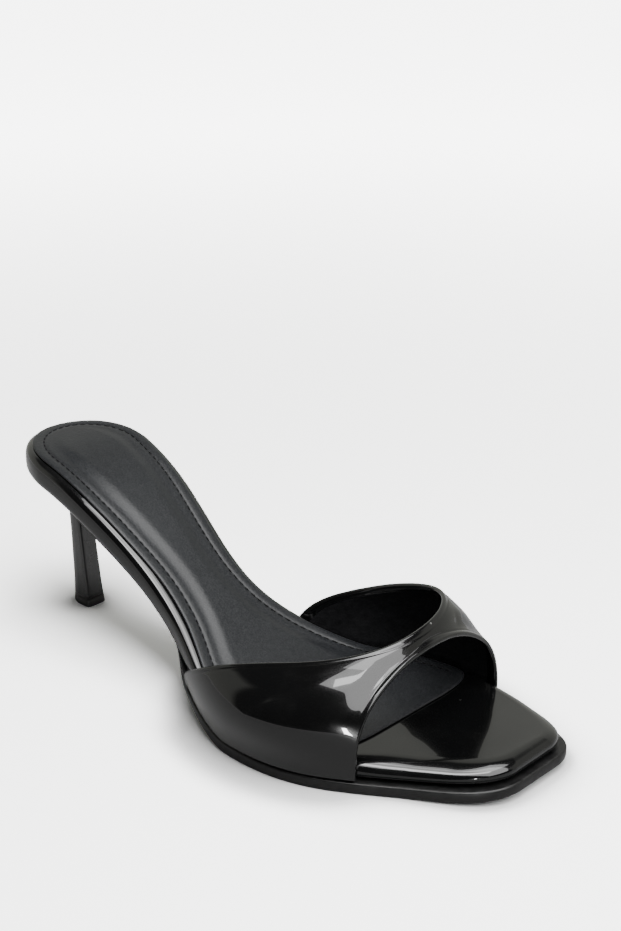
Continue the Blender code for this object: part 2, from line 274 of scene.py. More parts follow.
def plan_line(inset, back=None, arc_start=TOE_ARC_START, front=TOE_FRONT, middle=TOE_MIDDLE):
    """Outer and inner side of the shoe in plan, set in from the board's widest line."""
    if back is None:
        heel = HEEL_ARC_END - (HEEL_ARC_END - HEEL_BACK) * np.cos(HEEL_TURNS)
        sides = HEEL_ARC_END + (arc_start - HEEL_ARC_END) * SIDE_SHARES
    else:
        heel = np.empty(0)
        sides = back + (arc_start - back) * SIDE_SHARES
    closing = (1.0 - FRONT_SHARES ** TOE_POWER) ** (1.0 / TOE_POWER)
    x = np.concatenate([heel, sides, arc_start + (front - arc_start) * closing])
    share = np.clip((x - arc_start) / (front - arc_start), 0.0, 1.0)
    drawn_in = (1.0 - share ** TOE_POWER) ** (1.0 / TOE_POWER)
    reach = np.maximum(x, HEEL_ARC_END)
    arc = np.clip((HEEL_ARC_END - x) / (HEEL_ARC_END - HEEL_BACK), 0.0, 1.0)
    heel_share = np.sqrt(1.0 - arc ** 2)
    lines = []
    for width, side in ((lateral_width, -1.0), (medial_width, 1.0)):
        within = inset(x, side) if callable(inset) else np.full_like(x, inset)
        slope = (width(reach + 0.5) - width(reach - 0.5)) * (x > HEEL_ARC_END)
        half = (width(reach) - within * np.sqrt(1.0 + slope ** 2)) * heel_share
        y = middle + (side * half - middle) * drawn_in
        moved = x + within * arc - within * share
        lines.append(np.stack([moved, y], axis=1))
    return lines


def lifted(line, height):
    """The two sides of a plan line, raised to a height along the shoe."""
    sides = zip(line, (-1.0, 1.0))
    return [np.column_stack([chain, height(chain[:, 0], side)]) for chain, side in sides]


# Building helpers
def new_piece(name, shape, finishes, replaced=None):
    """Finished piece from a bmesh in the part's frame."""
    mesh = bpy.data.meshes.new(name)
    shape.to_mesh(mesh)
    shape.free()
    mesh.shade_smooth()
    for finish in finishes:
        mesh.materials.append(finish)
    piece = bpy.data.objects.new(name, mesh)
    bpy.context.scene.collection.objects.link(piece)
    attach(piece, "root")
    if replaced:
        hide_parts(replaced)


def tagged_grid(shape, columns, rows):
    """Grid whose points know their column and row, also after they are extruded or copied."""
    bmesh.ops.create_grid(shape, x_segments=columns, y_segments=rows, size=0.5)
    column = shape.verts.layers.int.new("column")
    row = shape.verts.layers.int.new("row")
    for vert in shape.verts:
        vert[column] = round((vert.co.x + 0.5) * columns)
        vert[row] = round((vert.co.y + 0.5) * rows)
    return column, row


def boundary_of(edges):
    return [edge for edge in edges if edge.is_boundary]


def extruded_edge(shape, edges):
    """New points and edges from an open edge."""
    made = bmesh.ops.extrude_edge_only(shape, edges=edges)["geom"]
    verts = [item for item in made if isinstance(item, bmesh.types.BMVert)]
    return verts, boundary_of([item for item in made if isinstance(item, bmesh.types.BMEdge)])


def copied_faces(shape, faces):
    """Copy of some faces, turned over."""
    made = bmesh.ops.duplicate(shape, geom=faces)["geom"]
    copies = [item for item in made if isinstance(item, bmesh.types.BMFace)]
    bmesh.ops.reverse_faces(shape, faces=copies)
    return copies, [item for item in made if isinstance(item, bmesh.types.BMVert)]


def layered_shape(rings, across, crown=None):
    """Closed shape with a grid over its first ring, walls through the others and a grid under the last."""
    shape = bmesh.new()
    column, row = tagged_grid(shape, len(rings[0][0]) - 1, across)

    def place(verts, ring, lift=None):
        outer, inner = (in_frame(side) for side in ring)
        for vert in verts:
            share = vert[row] / across
            spot = outer[vert[column]] * (1.0 - share) + inner[vert[column]] * share
            if lift:
                spot[2] += MM * lift(spot[0] / MM + ORIGIN[0], share)
            vert.co = Vector(spot)

    place(shape.verts, rings[0], crown)
    top = list(shape.faces)
    edges = boundary_of(shape.edges)
    for ring in rings[1:]:
        verts, edges = extruded_edge(shape, edges)
        place(verts, ring)
    verts = copied_faces(shape, top)[1]
    place(verts, rings[-1])
    bmesh.ops.remove_doubles(shape, verts=shape.verts, dist=MERGE_DISTANCE)
    bmesh.ops.recalc_face_normals(shape, faces=shape.faces)
    return shape


def ring_stack(rings):
    """Closed shape through plan rings of one point count, with flat ends."""
    shape = bmesh.new()
    bmesh.ops.create_circle(shape, segments=len(rings[0]), radius=1.0, cap_ends=False)
    place = shape.verts.layers.int.new("place")
    shape.verts.ensure_lookup_table()
    for number, vert in enumerate(shape.verts):
        vert[place] = number
    edges = list(shape.edges)
    verts = list(shape.verts)
    bmesh.ops.contextual_create(shape, geom=edges)
    for number, ring in enumerate(rings):
        if number:
            verts, edges = extruded_edge(shape, edges)
        spots = in_frame(ring)
        for vert in verts:
            vert.co = Vector(spots[vert[place]])
    bmesh.ops.contextual_create(shape, geom=edges)
    bmesh.ops.recalc_face_normals(shape, faces=shape.faces)
    return shape


# Foot bed: board, sock with its stitched channel, and outsole
BOARD_TOP_TURNS = np.radians(np.linspace(0.0, 90.0, 31))
BOARD_FOOT_TURNS = np.radians(np.linspace(0.0, 90.0, 7))
BED_ROWS = 44

# Edge of the sock, outwards and down: inset, then height and channel depth in shares of its thickness
SOCK_EDGE = table(
    "inset height channel",
    (STITCH_INSET + 2.0, 1.0, 0.0),
    (STITCH_INSET + 1.1, 1.0, 0.05),
    (STITCH_INSET + 0.6, 1.0, 0.2),
    (STITCH_INSET + 0.25, 0.99, 0.34),
    (STITCH_INSET - 0.25, 0.98, 0.34),
    (STITCH_INSET - 0.6, 0.98, 0.2),
    (STITCH_INSET - 1.1, 0.98, 0.05),
    (2.1, 0.97, 0.0),
    (1.2, 0.95, 0.0),
    (0.6, 0.88, 0.0),
    (0.2, 0.7, 0.0),
    (0.0, 0.4, 0.0),
    (0.05, 0.0, 0.0),
    (0.3, -0.2, 0.0),
)

# Outsole edge from its top down: inset, and depth in shares of its thickness
SOLE_EDGE = table(
    "inset depth",
    (0.55, 0.0),
    (0.2, 0.04),
    (0.0, 0.14),
    (0.0, 0.5),
    (0.0, 0.82),
    (0.15, 0.94),
    (0.5, 1.0),
)


def board_squareness(x):
    """Power of the board's top rounding: square-shouldered at heel and waist, round at the toe."""
    return BOARD_SHOULDER + (1.0 - BOARD_SHOULDER) * smooth_step(x, *SHOULDER_END)


def toe_roll(x, side):
    """Share of the soft roll that only the outer side of the toe has, less at the front."""
    front = 1.0 - TOE_ROLL_LOSS * smooth_step(x, *TOE_ROLL_END)
    return smooth_step(x, *TOE_ROLL) * front * (side < 0.0)


def board_crown(x, share):
    """Soft padding of the bare toe of the board."""
    bare = smooth_step(x, *BARE_TOE_RISE) * (1.0 - smooth_step(x, *BARE_TOE_FALL))
    return BOARD_CROWN * bare * (1.0 - (2.0 * share - 1.0) ** 2)


def sock_crown(x, share):
    """Padding of the sock: a soft step up inside its stitches, flat in the middle."""
    ends = smooth_step(x, *CROWN_RISE) * (1.0 - smooth_step(x, *CROWN_FALL))
    reach = max(x, HEEL_ARC_END)
    width = lateral_width(reach) + medial_width(reach) - 2.0 * (SOCK_INSET + SOCK_EDGE["inset"][0])
    padded = smooth_step(share * width, *CROWN_EDGE) * smooth_step((1.0 - share) * width, *CROWN_EDGE)
    return SOCK_CROWN * ends * padded


def make_board(finish):
    rings = []
    for turn in BOARD_TOP_TURNS:
        def run(x, side):
            reach = BOARD_TOP_RUN + TOE_ROLL_RUN * toe_roll(x, side)
            return reach * (1.0 - np.sin(turn) ** board_squareness(x))

        def top(x, side):
            depth = BOARD_TOP_DROP / BOARD_AT_HEEL + TOE_ROLL_DROP * toe_roll(x, side)
            return seat(x) - depth * board_thickness(x) * (1.0 - np.cos(turn) ** board_squareness(x))

        rings.append(lifted(plan_line(run), top))
    for turn in BOARD_FOOT_TURNS:
        rise = BOARD_FOOT_RISE * (1.0 - np.sin(turn)) / BOARD_AT_HEEL
        line = plan_line(BOARD_FOOT_RUN * (1.0 - np.cos(turn)))
        rings.append(lifted(line, lambda x, side: board_under(x) + rise * board_thickness(x)))
    shape = layered_shape(rings, BED_ROWS, board_crown)
    new_piece("patent_foot_bed", shape, [finish], "insole_board")


def sock_line(inset):
    """Plan line of the sock, which shows more of the board along the outer side of the waist."""
    def within(x, side):
        start, middle, end = SOCK_WAIST
        waist = smooth_step(x, start, middle) * (1.0 - smooth_step(x, middle, end)) * (side < 0.0)
        return SOCK_INSET + inset + SOCK_WAIST_INSET * waist

    return plan_line(within, arc_start=SOCK_ARC_START, front=SOCK_FRONT, middle=SOCK_MIDDLE)


def make_sock(finish):
    rings = []
    for inset, height, channel in zip(*SOCK_EDGE.values()):
        def top(x, side):
            sewn = 1.0 - smooth_step(x, *STITCH_ENDS)
            return seat(x) + GAP + (height - channel * sewn) * SOCK_THICKNESS

        rings.append(lifted(sock_line(inset), top))
    shape = layered_shape(rings, BED_ROWS, sock_crown)
    new_piece("sock", shape, [finish], "sock_lining")


def make_stitches(finish):
    """Row of short threads in the channel round the sock."""
    outer, inner = lifted(sock_line(STITCH_INSET), lambda x, side: seat(x) + GAP + THREAD_HEIGHT)
    path = np.concatenate([outer, inner[::-1], outer[:1]])
    length = np.concatenate([[0.0], np.cumsum(np.linalg.norm(np.diff(path, axis=0), axis=1))])
    count = int(length[-1] // STITCH_PITCH)
    middles = (np.arange(count) + 0.5) * length[-1] / count
    shape = bmesh.new()
    for middle in middles:
        ends = [Vector(np.interp(middle + reach, length, path[:, axis]) for axis in range(3))
                for reach in (-0.5 * STITCH_LENGTH, 0.5 * STITCH_LENGTH)]
        if ends[0].x > STITCH_ENDS[1]:
            continue
        turn = (ends[1] - ends[0]).to_track_quat("Z", "Y").to_matrix().to_4x4()
        spot = Vector(in_frame(0.5 * (ends[0] + ends[1])))
        size = Matrix.Diagonal((STITCH_RADIUS * MM, STITCH_RADIUS * MM, 0.5 * STITCH_LENGTH * MM, 1.0))
        place = Matrix.Translation(spot) @ turn @ size
        bmesh.ops.create_uvsphere(
            shape, u_segments=STITCH_SIDES, v_segments=STITCH_RINGS, radius=1.0, matrix=place)
    new_piece("sock_stitches", shape, [finish])


def make_outsole(finish):
    rings = []
    for inset, depth in zip(*SOLE_EDGE.values()):
        def drawn(x, side):
            lip = smooth_step(x, SOLE_LIP_FROM, SOLE_LIP_TO)
            return inset + SOLE_WAIST_INSET * (1.0 - lip) - SOLE_LIP * lip

        line = plan_line(drawn, back=SOLE_BACK)
        rings.append(lifted(line, lambda x, side: board_under(x) - GAP - depth * sole_thickness(x)))
    new_piece("rubber_sole", layered_shape(rings, BED_ROWS), [finish], "outsole")


# Upper
UPPER_COLUMNS = 200
COLUMN_SAMPLES = 240
MIDDLE_ROWS = 64
WALL_EASING = 20
EDGE_ROWS = np.array([ROLL, 1.25, 1.6, 1.95, 2.3, 2.65, 3.0])
ROLL_TURNS = np.radians(np.linspace(0.0, 180.0, 9)[1:])


def sole_line(x, side):
    """Lower edge of the upper on one side: just outside the board, level with its underside."""
    width = lateral_width if side < 0 else medial_width
    chain = np.stack([x, side * width(x)], axis=1)
    along = np.gradient(chain, axis=0)
    along /= np.linalg.norm(along, axis=1)[:, None]
    chain = chain + side * np.stack([-along[:, 1], along[:, 0]], axis=1) * (GAP + WALL)
    return np.column_stack([chain, board_under(chain[:, 0])])


def toe_edge(share):
    """Free edge of the upper over the toes: an upright arch from the outer to the inner side."""
    turn = np.pi * share
    across = 0.5 * (1.0 - np.sign(np.cos(turn)) * np.abs(np.cos(turn)) ** UPPER_ARCH_POWER)
    near = np.array([-1.0, 0.0, 1.0])
    corners = ((TOE_EDGE_LATERAL, -1.0), (TOE_EDGE_MEDIAL, 1.0))
    ends = np.array([sole_line(x + near, side)[1] for x, side in corners])
    edge = ends[0] + (ends[1] - ends[0]) * across[:, None]
    edge[:, 1] -= TOE_EDGE_BULGE * np.sin(2.0 * turn)
    edge[:, 2] += (UPPER_CROWN - ends[:, 2].mean()) * np.sin(turn) ** UPPER_ARCH_POWER
    return edge


def throat_edge(share):
    """Free edge of the upper round the throat, through its table of points."""
    points = np.stack([THROAT["x"], THROAT["y"], THROAT["z"]], axis=1)
    length = np.concatenate([[0.0], np.cumsum(np.linalg.norm(np.diff(points, axis=0), axis=1))])
    length /= length[-1]
    return np.stack([smooth_curve(length, points[:, axis])(share) for axis in range(3)], axis=1)


def surface_normals(grid):
    """Directions out of a grid of points whose columns run from the outer to the inner side."""
    normal = np.cross(np.gradient(grid, axis=0), np.gradient(grid, axis=1))
    return normal / np.linalg.norm(normal, axis=2)[:, :, None]


def upper_patch():
    """Outer face of the upper from throat to toe edge, with the trough behind the toe edge."""
    column = np.linspace(LOWER_ROLL, 1.0 - LOWER_ROLL, UPPER_COLUMNS + 1)
    row = np.linspace(0.0, 1.0, COLUMN_SAMPLES + 1)
    throat = throat_edge(column)
    toe = toe_edge(column)
    sides = []
    for side, corner in ((-1.0, 0.0), (1.0, 1.0)):
        start = throat_edge([corner])[0]
        end = toe_edge(np.array([corner]))[0]
        line = sole_line(start[0] + (end[0] - start[0]) * row, side)
        line = line + np.outer(1.0 - row, start - line[0]) + np.outer(row, end - line[-1])
        sides.append(line)
    down = row[:, None, None]
    across = column[None, :, None]
    patch = (1.0 - down) * throat[None] + down * toe[None]
    for line, share in ((sides[0], across), (sides[1], 1.0 - across)):
        chord = line[0] + (line[-1] - line[0]) * row[:, None]
        patch = patch + (line - chord)[:, None] * (1.0 - smooth_step(share, 0.0, SIDE_FADE))
    step = np.linalg.norm(np.diff(patch, axis=0), axis=2)
    ahead = np.concatenate([np.cumsum(step[::-1], axis=0)[::-1], np.zeros((1, UPPER_COLUMNS + 1))])
    reach = np.minimum(TROUGH_REACH, TROUGH_SHARE * ahead[0])
    ends = smooth_step(column, *TROUGH_ENDS) * smooth_step(1.0 - column, *TROUGH_ENDS)
    depth = TROUGH_DEPTH * ends * reach / TROUGH_REACH
    trough = depth * np.sin(np.pi * np.clip(ahead / reach, 0.0, 1.0) ** TROUGH_SKEW) ** 2
    return patch - surface_normals(patch) * trough[:, :, None]


def upper_rows(patch):
    """The patch with rows at set distances from its two free edges, for the folded rims."""
    rows = []
    distances = []
    grooves = []
    for column in range(patch.shape[1]):
        line = patch[:, column]
        length = np.concatenate([[0.0], np.cumsum(np.linalg.norm(np.diff(line, axis=0), axis=1))])
        total = length[-1]
        rim = EDGE_ROWS * min(1.0, total / RIM_FULL_FROM)
        middle = np.linspace(rim[-1], total - rim[-1], MIDDLE_ROWS + 2)[1:-1]
        at = np.concatenate([rim, middle, total - rim[::-1]])
        rows.append(np.stack([np.interp(at, length, line[:, axis]) for axis in range(3)], axis=1))
        distances.append(np.minimum(at, total - at))
        share = column / (patch.shape[1] - 1)
        ends = smooth_step(share, *FOLD_ENDS) * smooth_step(1.0 - share, *FOLD_ENDS)
        grooves.append(np.where(at < total - at, THROAT_FOLD_DEPTH, TOE_FOLD_DEPTH * ends))
    return np.stack(rows, axis=1), np.stack(distances, axis=1), np.stack(grooves, axis=1)


def wall_directions(grid):
    """Directions out of the band, eased from row to row, and level along its two lower edges."""
    normal = surface_normals(grid)
    for _ in range(WALL_EASING):
        normal[1:-1] = 0.25 * normal[:-2] + 0.5 * normal[1:-1] + 0.25 * normal[2:]
    normal[:, [0, -1], 2] = 0.0
    return normal / np.linalg.norm(normal, axis=2)[:, :, None]


def rim_directions(grid):
    """At each point of a grid's rim, the direction over the edge, in the surface."""
    over = np.zeros_like(grid)
    for edge, inside, axis in ((0, 1, 0), (-1, -2, 0), (0, 1, 1), (-1, -2, 1)):
        step = np.take(grid, edge, axis) - np.take(grid, inside, axis)
        step /= np.linalg.norm(step, axis=1)[:, None]
        if axis == 0:
            over[edge] += step
        else:
            over[:, edge] += step
    length = np.linalg.norm(over, axis=2)[:, :, None]
    return over / np.maximum(length, TINY)


def make_upper(finish, lining):
    """Band with a folded rim, a groove along the fold, a rounded lasting edge and a lining."""
    smooth, distance, groove = upper_rows(upper_patch())
    normal = wall_directions(smooth)
    fold = groove * np.exp(-((distance - FOLD_WIDTH) / FOLD_SOFTNESS) ** 2)
    outer = smooth - normal * fold[:, :, None]
    over = rim_directions(smooth)
    rows = outer.shape[0] - 1
    shape = bmesh.new()
    column, row = tagged_grid(shape, UPPER_COLUMNS, rows)

    def place(verts, grid):
        spots = in_frame(grid)
        for vert in verts:
            vert.co = Vector(spots[vert[row], vert[column]])

    place(shape.verts, outer)
    face = list(shape.faces)
    edges = boundary_of(shape.edges)
    for turn in ROLL_TURNS:
        verts, edges = extruded_edge(shape, edges)
        place(verts, smooth + ROLL * (over * np.sin(turn) - normal * (1.0 - np.cos(turn))))
    inside, verts = copied_faces(shape, face)
    share = np.linspace(0.0, 1.0, UPPER_COLUMNS + 1)
    turned = smooth_step(distance, *RIM_STEP_RISE) * (1.0 - smooth_step(distance, *RIM_STEP_FALL))
    turned *= smooth_step(share, *RIM_ENDS) * smooth_step(1.0 - share, *RIM_ENDS)
    place(verts, smooth - normal * (WALL + RIM_STEP * turned[:, :, None]))
    lined = distance > RIM_TURN
    for made in inside:
        made.material_index = int(all(lined[vert[row], vert[column]] for vert in made.verts))
    bmesh.ops.remove_doubles(shape, verts=shape.verts, dist=MERGE_DISTANCE)
    bmesh.ops.recalc_face_normals(shape, faces=shape.faces)
    new_piece("patent_band", shape, [finish, lining], "upper")


# Heel
HEEL_POINTS = 96
STEM_RINGS = 26
FLARE_RINGS = 40

# Heel tip from the floor up: height, and inset of its eased edges
TIP = table(
    "z inset",
    (0.0, 0.4),
    (0.15, 0.12),
    (0.5, 0.0),
    (1.6, 0.0),
    (2.8, 0.0),
    (HEEL_TIP_HEIGHT, 0.15),
)


def heel_section(rear, front, half):
    """Heel in plan: a straight breast with tight corners and a round back."""
    turn = np.linspace(0.0, 2.0 * np.pi, HEEL_POINTS, endpoint=False) + np.pi / HEEL_POINTS
    middle = front - HEEL_STRAIGHT_SHARE * (front - rear)
    power = np.where(np.cos(turn) > 0.0, HEEL_CORNER_POWER, 1.0)
    reach = np.where(np.cos(turn) > 0.0, front - middle, middle - rear)
    x = middle + reach * np.sign(np.cos(turn)) * np.abs(np.cos(turn)) ** power
    y = half * np.sign(np.sin(turn)) * np.abs(np.sin(turn)) ** power
    return np.stack([x, y], axis=1)


def stem_section(z):
    return heel_section(*(smooth_curve(STEM["z"], STEM[name])(z) for name in ("rear", "front", "half")))


def level(section, z):
    return np.column_stack([section, np.full(len(section), z)])


def make_heel(finish):
    heights = np.linspace(HEEL_TIP_HEIGHT + GAP, STEM["z"][-1], STEM_RINGS)
    rings = [level(stem_section(z), z) for z in heights]
    steps = np.arange(len(FLARE["depth"]))
    for step in np.linspace(0.0, steps[-1], FLARE_RINGS):
        depth, rear, front, half = (smooth_curve(steps, FLARE[name])(step) for name in FLARE)
        section = heel_section(rear, front, half)
        rings.append(np.column_stack([section, board_under(section[:, 0]) - HEEL_SEAT_GAP - depth]))
    new_piece("moulded_heel", ring_stack(rings), [finish], "heel")


def make_heel_tip(finish):
    rings = []
    for z, inset in zip(*TIP.values()):
        section = stem_section(z)
        centre = section.mean(axis=0)
        rings.append(level(centre + (section - centre) * (1.0 - inset / STEM["half"][0]), z))
    new_piece("rubber_heel_tip", ring_stack(rings), [finish], "heel_tip")


# Colours of the finishes, dark then light where there are two
PATENT_BLACK = ((0.0024, 0.0025, 0.0026), (0.0042, 0.0043, 0.0043))
DUST = (0.16, 0.16, 0.155)
HEEL_BLACK = ((0.03, 0.03, 0.0305), (0.038, 0.038, 0.038))
SOCK_CHARCOAL = ((0.009, 0.01, 0.0115), (0.0225, 0.0235, 0.025))
SOCK_CLOUD = (0.02, 0.021, 0.0225)
SOCK_CLOUD_SHARE = 0.25
LINING_BLACK = ((0.004, 0.004, 0.0046), (0.008, 0.008, 0.009))
THREAD_BLACK = ((0.004, 0.004, 0.0045), (0.012, 0.012, 0.013))
SOLE_BLACK = ((0.005, 0.005, 0.005), (0.009, 0.009, 0.009))
TIP_BLACK = ((0.022, 0.022, 0.022), (0.03, 0.03, 0.03))

# Gloss: depth of its pores against its waves, and the radius range over which a speck fades out
PORE_SHARE = 0.01
SPECK_EDGE = (0.05, 0.12)

# Places of the two colours and of their blend among a Mix node's sockets
MIX_COLOURS = (6, 7)
MIX_RESULT = 2


def add_node(tree, kind, inputs=None, **settings):
    """Node with its settings and inputs; an input that is a socket is linked."""
    made = tree.nodes.new(kind)
    for name, value in settings.items():
        setattr(made, name, value)
    for name, value in (inputs or {}).items():
        if isinstance(value, bpy.types.NodeSocket):
            tree.links.new(value, made.inputs[name])
        else:
            made.inputs[name].default_value = value
    return made


def ramp(tree, value, low, high, start, end):
    """A value carried from low..high to start..end, with soft ends."""
    inputs = {"Value": value, "From Min": low, "From Max": high, "To Min": start, "To Max": end}
    made = add_node(tree, "ShaderNodeMapRange", inputs, interpolation_type="SMOOTHSTEP")
    return made.outputs["Result"]


def mask_of(tree, value, low, high):
    """Zero where a value is under low, one where it is over high."""
    return ramp(tree, value, low, high, 0.0, 1.0)


def blend(tree, share, first, second):
    """Colour between two, by a share."""
    made = add_node(tree, "ShaderNodeMix", {"Factor": share}, data_type="RGBA")
    for number, colour in zip(MIX_COLOURS, (first, second)):
        if isinstance(colour, bpy.types.NodeSocket):
            tree.links.new(colour, made.inputs[number])
        else:
            made.inputs[number].default_value = (*colour, 1.0)
    return made.outputs[MIX_RESULT]


def combined(tree, operation, first, second):
    """Two values joined by an operation."""
    made = add_node(tree, "ShaderNodeMath", {0: first, 1: second}, operation=operation)
    return made.outputs["Value"]


def new_group(name, inputs, outputs):
    """Empty node group with number sockets."""
    tree = bpy.data.node_groups.new(name, "ShaderNodeTree")
    for label, value in inputs.items():
        socket = tree.interface.new_socket(label, in_out="INPUT", socket_type="NodeSocketFloat")
        socket.default_value = value
    for label in outputs:
        tree.interface.new_socket(label, in_out="OUTPUT", socket_type="NodeSocketFloat")
    return tree, tree.nodes.new("NodeGroupInput").outputs, tree.nodes.new("NodeGroupOutput").inputs


def placed(tree):
    """Place on a piece, in metres."""
    return add_node(tree, "ShaderNodeTexCoord").outputs["Object"]


def noise(tree, scale, detail=2.0, roughness=0.5):
    inputs = {"Vector": placed(tree), "Scale": scale, "Detail": detail, "Roughness": roughness}
    return add_node(tree, "ShaderNodeTexNoise", inputs).outputs["Fac"]


def lacquer_group():
    """Slow waves and faint smears in a poured gloss, with a few specks of dust."""
    values = {"Wave Scale": 70.0, "Speck Share": 0.1}
    tree, given, out = new_group("lacquer", values, ("Height", "Smear", "Specks"))
    waves = noise(tree, given["Wave Scale"], detail=1.0)
    pores = combined(tree, "MULTIPLY", noise(tree, scale=900.0, detail=1.0), PORE_SHARE)
    tree.links.new(combined(tree, "ADD", waves, pores), out["Height"])
    smears = noise(tree, scale=55.0, detail=5.0, roughness=0.62)
    tree.links.new(mask_of(tree, smears, low=0.42, high=0.72), out["Smear"])
    cells = add_node(tree, "ShaderNodeTexVoronoi", {"Vector": placed(tree), "Scale": 260.0})
    dots = ramp(tree, cells.outputs["Distance"], *SPECK_EDGE, 1.0, 0.0)
    chosen = add_node(tree, "ShaderNodeSeparateColor", {"Color": cells.outputs["Color"]}).outputs["Red"]
    few = combined(tree, "LESS_THAN", chosen, given["Speck Share"])
    tree.links.new(combined(tree, "MULTIPLY", dots, few), out["Specks"])
    return tree


def grain_group():
    """Small cells with pores between them, as on leather and moulded rubber."""
    values = {"Cell Scale": 1500.0, "Pore Depth": 0.6}
    tree, given, out = new_group("grain", values, ("Height", "Shade"))
    inputs = {"Vector": placed(tree), "Scale": given["Cell Scale"], "Randomness": 0.9}
    cells = add_node(tree, "ShaderNodeTexVoronoi", inputs, feature="SMOOTH_F1")
    pores = combined(tree, "MULTIPLY", cells.outputs["Distance"], given["Pore Depth"])
    mottle = noise(tree, scale=420.0, detail=6.0, roughness=0.6)
    tree.links.new(combined(tree, "ADD", pores, mottle), out["Height"])
    tree.links.new(mask_of(tree, mottle, low=0.3, high=0.7), out["Shade"])
    return tree


def add_group(tree, group, **values):
    """A node group in a material, with its own values."""
    made = add_node(tree, "ShaderNodeGroup", node_tree=group)
    for name, value in values.items():
        made.inputs[name.replace("_", " ").title()].default_value = value
    return made.outputs


def new_finish(name, **settings):
    """Empty material with a Principled shader whose constant sockets are set."""
    finish = bpy.data.materials.new(name)
    finish.use_nodes = True
    surface = finish.node_tree.nodes["Principled BSDF"]
    for label, value in settings.items():
        surface.inputs[label.replace("_", " ").title().replace("Ior", "IOR")].default_value = value
    return finish, finish.node_tree, surface


def dress(tree, surface, colour, mask, height, roughness, depth, strength):
    """Joins a colour, a roughness that follows a mask, and a bump of a depth in metres to the shader."""
    tree.links.new(colour, surface.inputs["Base Color"])
    tree.links.new(ramp(tree, mask, 0.0, 1.0, *roughness), surface.inputs["Roughness"])
    bump = add_node(tree, "ShaderNodeBump", {"Height": height, "Distance": depth, "Strength": strength})
    tree.links.new(bump.outputs["Normal"], surface.inputs["Normal"])
    return bump


def patent_finish(lacquer):
    shine = {"specular_ior_level": 0.2, "coat_weight": 1.0, "coat_roughness": 0.015}
    finish, tree, surface = new_finish("black_patent", **shine)
    gloss = add_group(tree, lacquer, wave_scale=62.0, speck_share=0.05)
    colour = blend(tree, gloss["Smear"], *PATENT_BLACK)
    colour = blend(tree, gloss["Specks"], colour, DUST)
    relief = {"roughness": (0.16, 0.24), "depth": 0.0002, "strength": 0.3}
    bump = dress(tree, surface, colour, gloss["Smear"], gloss["Height"], **relief)
    tree.links.new(bump.outputs["Normal"], surface.inputs["Coat Normal"])
    return finish


def heel_finish(lacquer):
    finish, tree, surface = new_finish("black_heel_gloss", coat_weight=1.0, coat_roughness=0.1)
    gloss = add_group(tree, lacquer, wave_scale=120.0, speck_share=0.03)
    colour = blend(tree, gloss["Smear"], *HEEL_BLACK)
    relief = {"roughness": (0.14, 0.22), "depth": 0.0003, "strength": 0.4}
    dress(tree, surface, colour, gloss["Smear"], gloss["Height"], **relief)
    return finish


def sock_finish(grain):
    finish, tree, surface = new_finish("charcoal_sock", specular_ior_level=0.28)
    skin = add_group(tree, grain, cell_scale=1100.0, pore_depth=0.7)
    clouds = mask_of(tree, noise(tree, scale=24.0), low=0.35, high=0.7)
    fine = mask_of(tree, noise(tree, scale=1900.0, detail=3.0, roughness=0.65), low=0.35, high=0.65)
    colour = blend(tree, fine, *SOCK_CHARCOAL)
    colour = blend(tree, combined(tree, "MULTIPLY", clouds, SOCK_CLOUD_SHARE), colour, SOCK_CLOUD)
    relief = {"roughness": (0.28, 0.36), "depth": 0.0001, "strength": 0.5}
    dress(tree, surface, colour, fine, skin["Height"], **relief)
    return finish


def lining_finish(grain):
    finish, tree, surface = new_finish("dark_lining", specular_ior_level=0.2)
    cloth = add_group(tree, grain, cell_scale=1800.0, pore_depth=1.0)
    colour = blend(tree, cloth["Shade"], *LINING_BLACK)
    relief = {"roughness": (0.6, 0.75), "depth": 0.0002, "strength": 0.6}
    dress(tree, surface, colour, cloth["Shade"], cloth["Height"], **relief)
    return finish


def rubber_finish(grain, name, colours):
    finish, tree, surface = new_finish(name, specular_ior_level=0.45)
    skin = add_group(tree, grain, cell_scale=2200.0, pore_depth=0.5)
    colour = blend(tree, skin["Shade"], *colours)
    relief = {"roughness": (0.34, 0.46), "depth": 0.0001, "strength": 0.4}
    dress(tree, surface, colour, skin["Shade"], skin["Height"], **relief)
    return finish


def thread_finish(grain):
    finish, tree, surface = new_finish("charcoal_thread", specular_ior_level=0.2)
    fibre = add_group(tree, grain, cell_scale=4200.0, pore_depth=1.0)
    colour = blend(tree, fibre["Shade"], *THREAD_BLACK)
    relief = {"roughness": (0.5, 0.68), "depth": 0.0001, "strength": 0.6}
    dress(tree, surface, colour, fibre["Shade"], fibre["Height"], **relief)
    return finish


# Camera: place in the shoe's sizes, tilt from straight down and heading in degrees, lens and near limit
CAMERA_AT = (474.87, -361.55, 279.17)
CAMERA_PITCH = 69.0014
CAMERA_HEADING = 43.0073
CAMERA_LENS = 61.87
CAMERA_NEAR = 0.01

# Room: way to its dim side, the cosine and the rise that bound its pale wall, and how soft they are
ROOM_WAY = (0.629, -0.777, 0.0)
ROOM_HALF_WIDTH = 0.24
ROOM_EDGE = 0.06
WALL_TOP = 0.72
WALL_EDGE = 0.05
ROOM_DARK = (0.05, 0.05, 0.05)
WALL_PALE = (0.5, 0.505, 0.465)

# Paper floor: half its width, and the distances over which its far part starts to glow, in metres
FLOOR_REACH = 8.0
GLOW_FROM = 0.15
GLOW_TO = 1.3

# Reflectance and far glow of the floor, as the camera sees it and as it lights the shoe
FLOOR_SEEN = (2.4, 5.8)
FLOOR_LIT = (0.27, 0.62)

# Contact shade on the floor: reach in metres, openness from darkest to clear, and brightness left
CONTACT_REACH = 0.02
CONTACT_OPEN = (0.68, 1.0)
CONTACT_SHARE = 0.36

